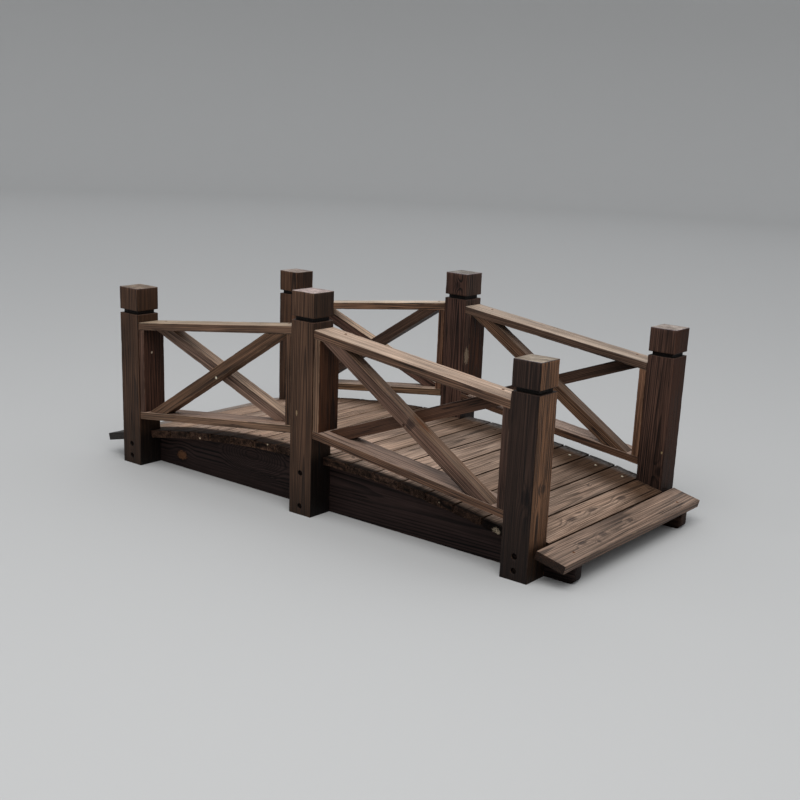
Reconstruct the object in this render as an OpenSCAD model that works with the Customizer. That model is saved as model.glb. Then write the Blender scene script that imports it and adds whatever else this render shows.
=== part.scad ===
// Garden moon bridge in stained softwood: a deck of flat boards that follows a low arch,
// two side beams cut to the same arch, six grooved posts bolted to the outside of the
// beams, and four raked rail panels with a crossed pair of braces in each.
// X runs along the bridge, Y across it and Z up. The origin is on the ground under the
// middle of the deck. The front side is the one at -Y, and the left end is the one at -X.

/* [Bridge] */
// Distance along the bridge between the centre lines of neighbouring posts
post_spacing = 798; // [700:1:900]
// Width over the two beams, which is the clear width between the posts of the two sides
beam_span = 682; // [560:1:800]

/* [Deck] */
// Height of the walking surface at the middle of the bridge
crown_h = 189; // [175:1:220]
// Radius of the arch, measured to the top of the deck boards
arch_r = 4000; // [3700:10:6000]
// Thickness of every board in the deck and in the rail panels
board_t = 25; // [18:0.5:30]
// Width of a deck board
deck_board_w = 96; // [70:1:120]
// Least gap that is left between neighbouring deck boards
least_gap = 4; // [2:0.5:8]
// How far the deck boards between the posts reach out past the outer faces of the beams
deck_reach = 45; // [5:1:80]
// Play at both ends of the deck boards that lie between two facing posts
deck_play = 1; // [0.5:0.5:10]
// Width of the board that closes each end of the deck
end_board_w = 97; // [60:1:110]
// How far the end boards reach out past the outer faces of the beams
end_board_reach = 70; // [20:1:80]
// Gap along the bridge between an end post and the top edge of the end board
end_board_gap = 12; // [9:1:30]

/* [Beams] */
// Thickness of a side beam
beam_t = 35; // [28:1:60]
// How far the beam ends stay back from the outer edges of the end boards
beam_end_setback = 9; // [0:1:15]
// Radius of the lower corners at the beam ends
beam_corner_r = 18; // [5:1:25]
// Play between the arch of the beams and the flat undersides of the boards
seat_gap = 0.2; // [0.1:0.1:0.5]

/* [Posts] */
// Side of the square posts
post_w = 90; // [80:1:100]
// Height of the four end posts
end_post_h = 613; // [580:1:660]
// Height of the two middle posts
mid_post_h = 695; // [670:1:760]
// Height of the head above the groove
head_h = 76; // [50:1:90]
// Height of the groove that runs round the post under the head
groove_h = 12; // [8:1:20]
// Depth of the groove
groove_d = 10; // [5:1:15]
// Chamfer along the top edge and along both lips of the groove
lip = 1.5; // [0.5:0.5:4]

/* [Bolts] */
// Diameter of the bore for a bolt through post and beam
bolt_d = 9; // [6:0.5:12]
// Diameter of the counterbore that hides the bolt head
head_bore_d = 18; // [14:0.5:24]
// Depth of the counterbore
head_bore_depth = 12; // [8:1:20]
// Height of the lower bolt of every post
low_bolt_z = 28; // [24:1:34]
// Height of the upper bolt of the end posts
end_bolt_z = 70; // [60:1:76]
// Height of the upper bolt of the middle posts
mid_bolt_z = 135; // [100:1:140]

/* [Rail panels] */
// Width of the rails and stiles, measured across the bridge
rail_w = 88; // [70:1:95]
// How far the rails stay back from the outer face of the posts
rail_inset = 3; // [0:0.5:10]
// Height from the top of a top rail to the top of the middle post
mid_rail_drop = 109; // [100:1:130]
// Height from the top of a top rail to the top of the end post
end_rail_drop = 114; // [100:1:130]
// Height of a panel from the underside of the bottom rail to the top of the top rail
panel_h = 333; // [280:1:345]
// Width of the braces, measured in the plane of the panel
brace_w = 38; // [30:1:50]
// How far the faces of the braces stay back from the edges of the rails
brace_inset = 2; // [0:0.5:6]
// Gap between a brace and the stile next to its end
brace_gap = 5; // [1:1:20]
// Gap between the stile at an end post and the foot of the brace that climbs inwards
foot_gap = 18; // [1:1:40]

/* [Edges] */
// Radius of the eased long edges of posts and boards
ease = 2; // [0.5:0.5:4]

/* [Hidden] */
// Facets of the small rounded edges, of the bores and of the arch
edge_fn = 24;
bore_fn = 48;
arch_fn = 720;
// Slack by which a cutting shape passes the faces that it cuts
cut = 5;

half_span = beam_span / 2;
arch_z = crown_h - arch_r;
beam_arch_r = arch_r - board_t - seat_gap;

// The end boards start past the end posts, and the beams end just short of their edges.
end_board_x = post_spacing + post_w / 2 + end_board_gap;
end_board_in = asin(end_board_x / arch_r);
end_board_turn = arc_angle(end_board_w);
beam_end_x = arch_r * sin(end_board_in + end_board_turn) - beam_end_setback;

// The rest of the arch holds as many deck boards as fit, with equal gaps.
deck_arc = 2 * arch_r * end_board_in * PI / 180;
deck_count = floor((deck_arc - least_gap) / (deck_board_w + least_gap));
deck_gap = (deck_arc - deck_count * deck_board_w) / (deck_count + 1);
deck_pitch = deck_board_w + deck_gap;
end_board_len = beam_span + 2 * end_board_reach;

// A bay is the clear length between two neighbouring posts.
bay = post_spacing - post_w;
rake = (mid_post_h - mid_rail_drop - end_post_h + end_rail_drop) / bay;
rake_angle = atan(rake);
rail_t = board_t / cos(rake_angle);
rail_y = half_span + post_w - rail_inset - rail_w;
brace_d = rail_w / 2 - brace_inset;

// Signs of the two sides across the bridge and of the two ends along it
sides = [["front", -1], ["back", 1]];
ends = [["left", -1], ["right", 1]];

function arc_angle(length) = length / arch_r * 180 / PI;
function deck_name(i) = str("deck_board_", i < 10 ? "0" : "", i);
function deck_angle(i) = arc_angle((i - (deck_count + 1) / 2) * deck_pitch);

// Length along the bridge between the middles of a deck board and of the post nearest to it
function post_offset(i) = min([for (place = [-1, 0, 1]) abs(arch_r * sin(deck_angle(i)) - place * post_spacing)]);

// A board reaches out past the beams unless it would run into a post there.
function deck_board_len(i) =
    beam_span + 2 * (post_offset(i) > (deck_board_w + post_w) / 2 + deck_play ? deck_reach : -deck_play);

// Heights of the rail lines at a distance u from the face of the middle post
function top_rail_top(u) = mid_post_h - mid_rail_drop - rake * u;
function top_rail_under(u) = top_rail_top(u) - rail_t;
function bottom_rail_under(u) = top_rail_top(u) - panel_h;
function bottom_rail_top(u) = bottom_rail_under(u) + rail_t;

// Rectangle with eased corners, centred on the origin
module eased_section(w, t) {
    square([w - 2 * ease, t], center = true);
    square([w, t - 2 * ease], center = true);
    for (x = [-1, 1]) for (y = [-1, 1])
        translate([x * (w / 2 - ease), y * (t / 2 - ease)]) circle(r = ease, $fn = edge_fn);
}

// Board that lies across the bridge, with its top face at the height of the origin
module cross_board(w, length) {
    translate([0, 0, -board_t / 2]) rotate([90, 0, 0])
        linear_extrude(length, center = true) eased_section(w, board_t);
}

// Lays a cross board on the arch, turned by an angle from the middle of the bridge
module on_arch(angle) {
    translate([0, 0, arch_z]) rotate([0, angle, 0]) translate([0, 0, arch_r]) children();
}

module deck_board(i) {
    color("#7c6657") on_arch(deck_angle(i)) cross_board(deck_board_w, deck_board_len(i));
}

module end_board(end) {
    color("#77604f")
        on_arch(end * (end_board_in + end_board_turn / 2)) cross_board(end_board_w, end_board_len);
}

// Side outline of a beam: a straight foot with rounded corners under a flat arch
module beam_outline() {
    intersection() {
        translate([0, crown_h - arch_r]) circle(r = beam_arch_r, $fn = arch_fn);
        union() {
            translate([-beam_end_x, beam_corner_r]) square([2 * beam_end_x, crown_h]);
            translate([-beam_end_x + beam_corner_r, 0]) square([2 * (beam_end_x - beam_corner_r), crown_h]);
            for (x = [-1, 1])
                translate([x * (beam_end_x - beam_corner_r), beam_corner_r])
                    circle(r = beam_corner_r, $fn = bore_fn);
        }
    }
}

// Bolt bores through post and beam at one place, along Y
module bolt_bores(place, d, length) {
    for (z = [low_bolt_z, place == 0 ? mid_bolt_z : end_bolt_z])
        translate([place * post_spacing, 0, z]) rotate([90, 0, 0])
            cylinder(d = d, h = length, center = true, $fn = bore_fn);
}

module beam(side) {
    color("#3a2820") difference() {
        translate([0, side * (half_span - beam_t / 2), 0]) rotate([90, 0, 0])
            linear_extrude(beam_t, center = true) beam_outline();
        for (place = [-1, 0, 1])
            translate([0, side * half_span, 0]) bolt_bores(place, bolt_d, 2 * beam_t + cut);
    }
}

// Right half of a post's outline, from the foot up to the chamfered top
function post_edge(h) = let (w = post_w / 2, neck = w - groove_d, low = h - head_h - groove_h, high = h - head_h)
    [[w, 0], [w, low - lip], [w - lip, low], [neck, low], [neck, high],
     [w - lip, high], [w, high + lip], [w, h - lip], [w - lip, h]];

module post_outline(h) {
    edge = post_edge(h);
    polygon(concat(edge, [for (i = [len(edge) - 1 : -1 : 0]) [-edge[i].x, edge[i].y]]));
}

// The outline is cut from two sides, so that groove and chamfers run all round.
module post_blank(h) {
    intersection() {
        linear_extrude(h) eased_section(post_w, post_w);
        rotate([90, 0, 0]) linear_extrude(post_w, center = true) post_outline(h);
        rotate([90, 0, 90]) linear_extrude(post_w, center = true) post_outline(h);
    }
}

module post(side, place) {
    centre_y = side * (half_span + post_w / 2);
    outer_y = side * (half_span + post_w);
    color("#4b3225") difference() {
        translate([place * post_spacing, centre_y, 0]) post_blank(place == 0 ? mid_post_h : end_post_h);
        translate([0, centre_y, 0]) bolt_bores(place, bolt_d, post_w + cut);
        translate([0, outer_y, 0]) bolt_bores(place, head_bore_d, 2 * head_bore_depth);
    }
}

// Puts a panel piece, drawn with u from the middle post and y from the inner edge
// of the rails, into its bay. The mirrored copies keep the pieces' own layers in Y.
module in_bay(end) {
    mirror([end < 0 ? 1 : 0, 0, 0]) translate([post_w / 2, 0, 0]) children();
}

// Middle of the rails' width on one side of the bridge
function panel_y(side) = side * (rail_y + rail_w / 2);

module rail(side, end, top_at_mid) {
    color("#8a6b57") in_bay(end) intersection() {
        translate([0, panel_y(side), top_at_mid]) rotate([0, rake_angle, 0])
            translate([bay / 2, 0, -board_t / 2]) rotate([90, 0, 90])
                linear_extrude(bay + 4 * board_t, center = true) eased_section(rail_w, board_t);
        translate([0, panel_y(side) - rail_w, 0]) cube([bay, 2 * rail_w, mid_post_h]);
    }
}

// Opening between the rails of a panel, as an outline in u and z
module between_rails() {
    polygon([[0, bottom_rail_top(0)], [bay, bottom_rail_top(bay)],
             [bay, top_rail_under(bay)], [0, top_rail_under(0)]]);
}

module stile(side, end, u) {
    color("#6f5344") in_bay(end) intersection() {
        translate([u + board_t / 2, panel_y(side), 0]) linear_extrude(mid_post_h) eased_section(board_t, rail_w);
        translate([0, panel_y(side), 0]) rotate([90, 0, 0])
            linear_extrude(2 * rail_w, center = true) between_rails();
    }
}

module stiles(side) {
    for (end = ends) {
        stile(side, end[1], 0);
        stile(side, end[1], bay - board_t);
    }
}

// Endless strip of a brace in u and z. Its upper edge passes through the point low at
// the foot, and its lower edge through the point high at the head.
module brace_strip(low, high) {
    run = high - low;
    tilt = atan2(run.y, run.x);
    turn = asin(brace_w / norm(run)) * (run.x > 0 ? 1 : -1);
    translate(low) rotate(tilt + turn)
        translate([-bay, run.x > 0 ? -brace_w : 0]) square([3 * bay, brace_w]);
}

// A brace is cut off along both rails. The layer is -1 for the half of the rails at -Y
// and 1 for the half at +Y, so that the two braces of a panel pass each other.
module brace(side, end, layer, low, high) {
    color("#7d5f4c") in_bay(end) translate([0, panel_y(side) + layer * brace_d / 2, 0])
        rotate([90, 0, 0]) linear_extrude(brace_d, center = true) intersection() {
            between_rails();
            brace_strip(low, high);
        }
}

// Climbs from the end post to the middle post
module inward_brace(side, end) {
    foot_u = bay - board_t - foot_gap;
    head_u = board_t + brace_gap;
    brace(side, end, -1, [foot_u, bottom_rail_top(foot_u)], [head_u, top_rail_under(head_u)]);
}

// Climbs from the middle post to the end post
module outward_brace(side, end) {
    foot_u = board_t + brace_gap;
    head_u = bay - board_t - brace_gap;
    brace(side, end, 1, [foot_u, bottom_rail_top(foot_u)], [head_u, top_rail_under(head_u)]);
}

for (side = sides) {
    post(side[1], -1);
    post(side[1], 0);
    post(side[1], 1);
    beam(side[1]);
    stiles(side[1]);
}
for (i = [1 : deck_count])
    deck_board(i);
for (end = ends)
    end_board(end[1]);
for (side = sides) for (end = ends) {
    panel = str(side[0], "_", end[0]);
    rail(side[1], end[1], top_rail_top(0));
    rail(side[1], end[1], bottom_rail_top(0));
    inward_brace(side[1], end[1]);
    outward_brace(side[1], end[1]);
}
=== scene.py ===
# %% [markdown]
# Garden moon bridge, a lesson in timber
#
# This notebook dresses the solids of a small arched garden bridge: six grooved posts, two
# beams cut to an arch, a deck of flat boards and four rail panels with crossed braces.
# All of it is softwood that was scorched and oiled to a dark brown. The solids already have
# the right sizes, so the work here is what a joiner and a few winters outdoors add: worn
# arrises, growth rings, knots, drying checks, a faded deck, bolts and screws.
# We start by loading the solids.

import math
import random
from collections import defaultdict
from dataclasses import dataclass
from functools import reduce
from itertools import zip_longest

import bmesh
import bpy
from mathutils import Matrix, Vector, noise


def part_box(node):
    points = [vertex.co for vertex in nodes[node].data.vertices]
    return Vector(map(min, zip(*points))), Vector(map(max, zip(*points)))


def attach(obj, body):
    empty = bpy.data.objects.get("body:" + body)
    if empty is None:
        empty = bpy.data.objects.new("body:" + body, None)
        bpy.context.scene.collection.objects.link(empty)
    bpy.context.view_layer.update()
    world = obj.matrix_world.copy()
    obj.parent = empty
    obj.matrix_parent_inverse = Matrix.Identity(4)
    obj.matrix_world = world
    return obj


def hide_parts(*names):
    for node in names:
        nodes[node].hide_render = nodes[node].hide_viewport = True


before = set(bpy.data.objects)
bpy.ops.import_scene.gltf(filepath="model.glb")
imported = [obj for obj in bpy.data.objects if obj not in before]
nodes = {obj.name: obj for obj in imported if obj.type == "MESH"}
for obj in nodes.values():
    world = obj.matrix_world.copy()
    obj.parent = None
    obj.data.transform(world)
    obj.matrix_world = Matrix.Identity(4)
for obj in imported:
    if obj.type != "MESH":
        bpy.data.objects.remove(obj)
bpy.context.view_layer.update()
mm = 0.001


# %% [markdown]
# The view
#
# A camera can be placed by eye, but straight timber edges fix it much better: the posts and
# rails were fitted to their pictures, which gave the numbers below. The camera stands a
# little above waist height and looks down on the right-hand end. The shift says that its
# optical axis isn't in the middle of the picture.

# %% Camera
camera_place = Vector((2.442, -3.041, 1.206))
azimuth, elevation, roll = (math.radians(angle) for angle in (36.66, 16.34, 2.709))
focal_px = 1201.9
picture_px = 800
axis_px = (430, 470)


def show(name, data):
    """Puts a mesh, a lamp or a camera into the scene as an object of that name."""
    made = bpy.data.objects.new(name, data)
    bpy.context.scene.collection.objects.link(made)
    return made


camera = show("camera", bpy.data.cameras.new("camera"))
stand = Matrix.Translation(camera_place)
for angle, axis in ((azimuth, "Z"), (math.pi / 2 - elevation, "X"), (roll, "Z")):
    stand @= Matrix.Rotation(angle, 4, axis)
camera.matrix_world = stand
camera.data.sensor_width = 36
camera.data.lens = focal_px / picture_px * camera.data.sensor_width
camera.data.shift_x = 0.5 - axis_px[0] / picture_px
camera.data.shift_y = axis_px[1] / picture_px - 0.5
camera.data.clip_end = 100
bpy.context.scene.camera = camera
print("lens", round(camera.data.lens, 2), "mm, shift", camera.data.shift_x, camera.data.shift_y)


# %% [markdown]
# Node trees without the tangle
#
# A material is a small machine made of nodes. Wired by hand each node takes three or four
# lines, so this class gives the few kinds that we need one short method each. A value may
# be a number, a colour or another node's output. In a noise, waves says how many of its
# waves go into a metre in each of the three directions.

# %% Helpers for node trees
class Recipe:
    """Node tree of a material, with a short method for each kind of node in it."""

    def __init__(self, name):
        self.material = bpy.data.materials.new(name)
        self.material.use_nodes = True
        self.tree = self.material.node_tree
        self.shader = self.tree.nodes["Principled BSDF"]

    def node(self, kind, inputs=(), **settings):
        made = self.tree.nodes.new(kind)
        for name, value in settings.items():
            setattr(made, name, value)
        for place, value in dict(inputs).items():
            self.feed(made.inputs[place], value)
        return made

    def feed(self, socket, value):
        if isinstance(value, bpy.types.NodeSocket):
            self.tree.links.new(value, socket)
        else:
            socket.default_value = value

    def coat(self, sockets):
        """Wires or sets the shader's own sockets by their names."""
        for name, value in sockets.items():
            self.feed(self.shader.inputs[name], value)

    def math(self, operation, *values):
        return self.node("ShaderNodeMath", enumerate(values), operation=operation).outputs[0]

    def plus(self, *values):
        return reduce(lambda a, b: self.math("ADD", a, b), values)

    def times(self, *values):
        return reduce(lambda a, b: self.math("MULTIPLY", a, b), values)

    def minus(self, a, b):
        return self.math("SUBTRACT", a, b)

    def vector(self, operation, *values):
        made = self.node("ShaderNodeVectorMath", enumerate(values), operation=operation)
        return made.outputs["Value" if operation == "LENGTH" else "Vector"]

    def read(self, name, output="Vector"):
        return self.node("ShaderNodeAttribute", attribute_name=name).outputs[output]

    def part(self, value, axis):
        return self.node("ShaderNodeSeparateXYZ", {0: value}).outputs[axis]

    def noise(self, place, waves, detail=2.0, output="Fac"):
        inputs = {"Vector": self.vector("MULTIPLY", place, waves), "Scale": 1.0, "Detail": detail}
        return self.node("ShaderNodeTexNoise", inputs).outputs[output]

    def swing(self, place, waves, size, detail=2.0):
        """Noise round zero, of about the given size."""
        return self.times(self.minus(self.noise(place, waves, detail), 0.5), size)

    def fade(self, value, start, end, low=0.0, high=1.0):
        """low up to start and high from end on, with a smooth step between them."""
        numbers = enumerate((value, start, end, low, high))
        return self.node("ShaderNodeMapRange", numbers, interpolation_type="SMOOTHSTEP").outputs[0]

    def mix(self, share, a, b, blend="MIX"):
        inputs = {0: share, 6: a, 7: b}
        return self.node("ShaderNodeMix", inputs, data_type="RGBA", blend_type=blend).outputs[2]

    def darken(self, colour, factor, share=1.0):
        """The colour times a number or another colour."""
        if getattr(factor, "type", "") == "VALUE":
            factor = self.node("ShaderNodeCombineXYZ", {0: factor, 1: factor, 2: factor}).outputs[0]
        return self.mix(share, colour, factor, "MULTIPLY")

    def bump(self, height, strength, depth):
        inputs = {"Height": height, "Strength": strength, "Distance": depth}
        return self.node("ShaderNodeBump", inputs).outputs[0]


def paint(red, green, blue):
    """Linear colour of a paint chart value from 0 to 255, by the curve that screens use."""
    shares = [value / 255 for value in (red, green, blue)]
    return (*[((c + 0.055) / 1.055) ** 2.4 if c > 0.04045 else c / 12.92 for c in shares], 1.0)


near_black = paint(13, 10, 9)
raw_wood = paint(196, 178, 152)
print("raw wood sends back", round(100 * raw_wood[1]), "% of green light, soot", round(100 * near_black[1], 1))


# %% [markdown]
# Things turned on a lathe
#
# A bolt, a screw and even the round studio floor have the same form: a profile turned about
# an axis. A radius may also be a rule that depends on the angle, which gives a round bar six
# flats or a screw its cross slot. The seam at the axis is welded, so all is one closed skin.

# %% Turning
def turned(name, profile, steps):
    """Mesh made by turning radius and height pairs once round the Z axis."""
    shape = bmesh.new()
    rings = []
    for step in range(steps):
        angle = math.tau * step / steps
        flat = [(radius(angle) if callable(radius) else radius, height) for radius, height in profile]
        rings.append([shape.verts.new((r * math.cos(angle), r * math.sin(angle), z)) for r, z in flat])
    for ring, after in zip(rings, rings[1:] + rings[:1]):
        for low in range(len(profile) - 1):
            shape.faces.new((ring[low], after[low], after[low + 1], ring[low + 1]))
    bmesh.ops.remove_doubles(shape, verts=shape.verts, dist=0.001 * mm)
    bmesh.ops.recalc_face_normals(shape, faces=shape.faces)
    mesh = bpy.data.meshes.new(name)
    shape.to_mesh(mesh)
    shape.free()
    return mesh


# %% [markdown]
# Floor
#
# A studio floor is a wide cove: pale, flat under the object, and curved up into a low wall so
# that no horizon line cuts the picture. Its round form suits a camera on any side.

# %% Floor
cove_radius, cove_bend, cove_height = 14.0, 3.0, 6.5
bend_steps, round_steps = 12, 96
angles = [math.pi / 2 * step / bend_steps for step in range(bend_steps + 1)]
bend = [(cove_radius + cove_bend * math.sin(a), cove_bend * (1 - math.cos(a))) for a in angles]
cove = [(0, 0), (1, 0), (4, 0)] + bend + [(cove_radius + cove_bend, cove_height)]
floor = show("floor", turned("floor", cove, round_steps))
floor.data.flip_normals()
floor.data.shade_smooth()

floor_look = Recipe("pale_floor")
floor_look.coat({"Base Color": paint(186, 186, 185), "Roughness": 0.85, "Specular IOR Level": 0.2})
floor.data.materials.append(floor_look.material)
print("cove", 2 * (cove_radius + cove_bend), "m across")


# %% [markdown]
# Light
#
# Under an overcast sky light comes from all round and shadows are soft. A plain bright world
# gives that. One large soft lamp in front adds the little direction that a cloudy sky still
# has, so that tops, fronts and ends don't look the same.

# %% Light
world = bpy.data.worlds.new("soft_sky")
world.use_nodes = True
sky = world.node_tree.nodes["Background"].inputs
sky["Color"].default_value = (0.95, 0.97, 1.0, 1)
sky["Strength"].default_value = 0.8
bpy.context.scene.world = world
bpy.context.scene.view_settings.view_transform = "Standard"

key = show("key_light", bpy.data.lights.new("key_light", "AREA"))
key.data.size = 4.0
key.data.energy = 160
key.location = (1.5, -2.5, 5.0)
key.rotation_euler = (Vector((0, 0, 0.2)) - key.location).to_track_quat("-Z", "Y").to_euler()
print("lamp of", key.data.energy, "W,", key.data.size, "m wide")


# %% [markdown]
# How a board tells where its grain runs
#
# A joiner reads a board at a glance: the longest arris gives the grain, and the widest
# face gives the thickness. The same rule finds the grain of every solid here, so no table
# of directions is needed, and the raked rails and braces come out right by themselves.

# %% Read the timber
weld = 0.01 * mm


def solids_of(node):
    """One welded mesh for each separate solid of a node, from left to right."""
    whole = bmesh.new()
    whole.from_mesh(nodes[node].data)
    bmesh.ops.remove_doubles(whole, verts=whole.verts, dist=weld)
    bmesh.ops.dissolve_limit(whole, angle_limit=0.01, verts=whole.verts, edges=whole.edges)
    solids, left = [], set(whole.verts)
    while left:
        group, todo = set(), [next(iter(left))]
        while todo:
            vert = todo.pop()
            if vert not in group:
                group.add(vert)
                todo += [edge.other_vert(vert) for edge in vert.link_edges]
        left -= group
        kept = {vert.index for vert in group}
        solid = whole.copy()
        bmesh.ops.delete(solid, geom=[v for v in solid.verts if v.index not in kept], context="VERTS")
        solids.append(solid)
    whole.free()
    return sorted(solids, key=lambda solid: min(v.co.x for v in solid.verts))


def positive(direction):
    """The direction or its opposite, whichever has its largest part above zero."""
    largest = max(direction, key=abs)
    return direction.normalized() * (1 if largest > 0 else -1)


class Timber:
    """A solid with its grain frame: along the grain, across the face and through it."""

    def __init__(self, solid):
        self.solid = solid
        edge = max(solid.edges, key=lambda e: e.calc_length())
        self.along = positive(edge.verts[1].co - edge.verts[0].co)
        face = max(solid.faces, key=lambda f: f.calc_area())
        self.through = positive(face.normal - face.normal.dot(self.along) * self.along)
        self.across = self.through.cross(self.along)
        self.axes = (self.along, self.across, self.through)
        spans = [[axis.dot(v.co) for v in solid.verts] for axis in self.axes]
        middle = [(min(span) + max(span)) / 2 for span in spans]
        self.half = [(max(span) - min(span)) / 2 for span in spans]
        self.centre = sum((m * axis for m, axis in zip(middle, self.axes)), Vector())

    def local(self, place):
        return Vector(axis.dot(place - self.centre) for axis in self.axes)

    def world(self, place):
        return self.centre + sum((x * axis for x, axis in zip(place, self.axes)), Vector())


# %% [markdown]
# Marks
#
# Some pieces carry a mark: a pale spot, an amber patch, a dark end, a patch of painted
# shade, or a place where a splinter broke off. A picture could show it, but only on one face.
# Here it is an egg-shaped region in the wood, which shows where it meets the surface. One with a depth takes
# wood away.
# region in the wood, which shows where it meets the surface. One with a depth takes wood away.

# %% Mark
class Mark:
    """A spot on a piece: place, half size and depth in mm in the grain frame, and its colour."""

    def __init__(self, place=(9000, 9000, 9000), size=(1, 1, 1), depth=0, colour=raw_wood):
        self.place = [x * mm for x in place]
        self.size = [x * mm for x in size]
        self.depth = depth * mm
        self.colour = colour

    def reading(self, place):
        """Offset from the spot, in units of its half size."""
        return [(x - middle) / size for x, middle, size in zip(place, self.place, self.size)]


# %% [markdown]
# Cutting the mesh finer
#
# The solids come with long bare faces, and a face without points can't be worn. Planes cut
# each one in all three grain directions, as if it were marked out with a gauge, which leaves
# an even grid that still follows every chamfer, groove and bore. Subdividing would crowd
# points where the mesh is already fine. A missing splinter gets a few planes of its own.

# %% Slice
break_cuts = (-1.2, -0.75, -0.35, 0, 0.35, 0.75, 1.2)


def slice_evenly(timber, steps, mark):
    for axis, half, step, middle, size in zip(timber.axes, timber.half, steps, mark.place, mark.size):
        count = max(1, round(2 * half / step))
        cuts = [2 * half * cut / count - half for cut in range(1, count)]
        if mark.depth:
            cuts += [middle + size * share for share in break_cuts]
        for cut in cuts:
            everything = timber.solid.verts[:] + timber.solid.edges[:] + timber.solid.faces[:]
            plane = timber.centre + axis * cut
            bmesh.ops.bisect_plane(timber.solid, geom=everything, dist=weld, plane_co=plane, plane_no=axis)


# %% [markdown]
# Wear
#
# Rain and sun take the soft wood away first, so faces sink by some tenths of a millimetre in
# long shallow waves, and the arrises lose small chips. The ends of the deck boards were sawn
# roughly, so there some fibres are missing. Wear only takes wood away: the worn piece
# always fits in the space of the new one.

# %% Wear
face_waves, arris_waves, break_waves = Vector((5, 22, 22)), Vector((38, 20, 20)), 400
hollow, chip, arris_reach = 0.4 * mm, 0.9 * mm, 3 * mm


def arris_distance(timber, place):
    """How far a point on the surface is from the nearest long arris or end."""
    return max(0.0, sorted(half - abs(x) for half, x in zip(timber.half, place))[1])


def torn_back(timber, place, ragged, shift):
    """How far the fibres at a roughly sawn end are torn back; this fades out inwards."""
    x, y, z = place
    to_end = timber.half[0] - abs(x)
    if not ragged or to_end >= 2 * ragged:
        return 0.0
    lump = noise.noise(Vector((math.copysign(3, x), 45 * y, 70 * z)) + shift)
    step = noise.noise(Vector((math.copysign(7, x), 9 * y, 0)) + 3 * shift)
    back = ragged * max(0.0, 0.45 + 0.8 * lump + 0.7 * step)
    return math.copysign(back * (1 - to_end / (2 * ragged)), x)


def wear(timber, seed, ragged, mark):
    """Sinks the surface unevenly, knocks the arrises back and leaves the ends ragged."""
    timber.solid.normal_update()
    shift = Vector((seed, 2 * seed, 3 * seed))
    moves = []
    for vert in timber.solid.verts:
        place = timber.local(vert.co)
        sink = hollow * (0.5 + 0.5 * noise.noise(face_waves * place + shift))
        if arris_distance(timber, place) < arris_reach:
            sink += 1.6 * chip * max(0.0, noise.noise(arris_waves * place + shift) - 0.1)
        if mark.depth:
            inside = 1 - Vector(mark.reading(place)).length + 0.5 * noise.noise(break_waves * place)
            sink += mark.depth * min(1.0, max(0.0, 2 * inside))
        moves.append(vert.normal * -sink - timber.along * torn_back(timber, place, ragged, shift))
    for vert, move in zip(timber.solid.verts, moves):
        vert.co += move


# %% [markdown]
# From which part of the log
#
# Growth rings are cylinders round the pith of the log. What they draw on a board depends
# only on where in the log it was sawn: near the pith the lines run straight, and further
# out a flat board cuts them at a low angle and shows flames. So every piece stores the
# place of its points in its own log, and one recipe can draw the rings of all of them.
# A knot is a branch that grows from the pith outwards, so it is stored as a ray through the
# spot where it shows. All these values change evenly, so few points store them exactly.

# %% Write the log into the mesh
knot_names = ("knot_1", "knot_2", "knot_3", "knot_4")
far_off = 99.0
nowhere = (far_off, far_off, far_off)
screw_head = 4 * mm
log_length = 10


def knot_reading(place, knot, pith):
    """Offset from a knot's ray in units of its radius, and on which side of the pith it is."""
    *lengths, stretch = knot
    along, across, through, radius = (x * mm for x in lengths)
    ray = Vector((across - pith[0], through - pith[1])).normalized()
    out = Vector((place.y - pith[0], place.z - pith[1]))
    aside = out.x * ray.y - out.y * ray.x
    return ((place.x - along) / (stretch * radius), aside / radius, out.dot(ray) / radius)


def screw_reading(place, screw):
    """Offset from a screw that stands at both ends of a piece, in units of its head."""
    return [(x - at) / screw_head for x, at in zip((abs(place.x), place.y, place.z), screw)]


def write_log(timber, mesh, look, seed, pith):
    """Stores where each point lies in its log, and how far it is from all that happened there."""
    rows = defaultdict(list)
    for vert in mesh.vertices:
        place = timber.local(vert.co)
        rows["grain"] += [place.x + log_length * seed, place.y - pith[0], place.z - pith[1]]
        rows["mark"] += look.mark.reading(place)
        rows["mark_colour"] += look.mark.colour[:3]
        rows["screw"] += screw_reading(place, look.screw)
        rows["arris"].append(arris_distance(timber, place))
        rows["tip"].append(timber.half[0] - place.x)
        rows["far_tip"].append(timber.half[0] + place.x)
        rows["deep"].append(max(0.0, min(half - abs(x) for half, x in zip(timber.half, place))))
        rows["split"].append(look.split)
        for name, knot in zip_longest(knot_names, look.knots):
            rows[name] += knot_reading(place, knot, pith) if knot else nowhere
    for name, row in rows.items():
        vector = len(row) > len(mesh.vertices)
        layer = mesh.attributes.new(name, "FLOAT_VECTOR" if vector else "FLOAT", "POINT")
        layer.data.foreach_set("vector" if vector else "value", row)


# %% [markdown]
# How the stain took
#
# A scorched finish never takes evenly. One face of a post was nearer to the flame, the sawn
# ends drank more oil, and the upper faces have faded. So each face has its own shade: the
# tint of its piece, times a factor if it looks to the right or up, and one for what it is
# in the board: end, edge or wide face. A fourth number says how bold its lines are. On some
# pieces these factors also paint light and shade: the sky sheen of upper faces, the shade in
# the seams between deck boards, the lit edges and shaded faces of the stiles, and ends that
# stand in shadow.

# %% Shade of each face
square_on = 0.75


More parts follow.
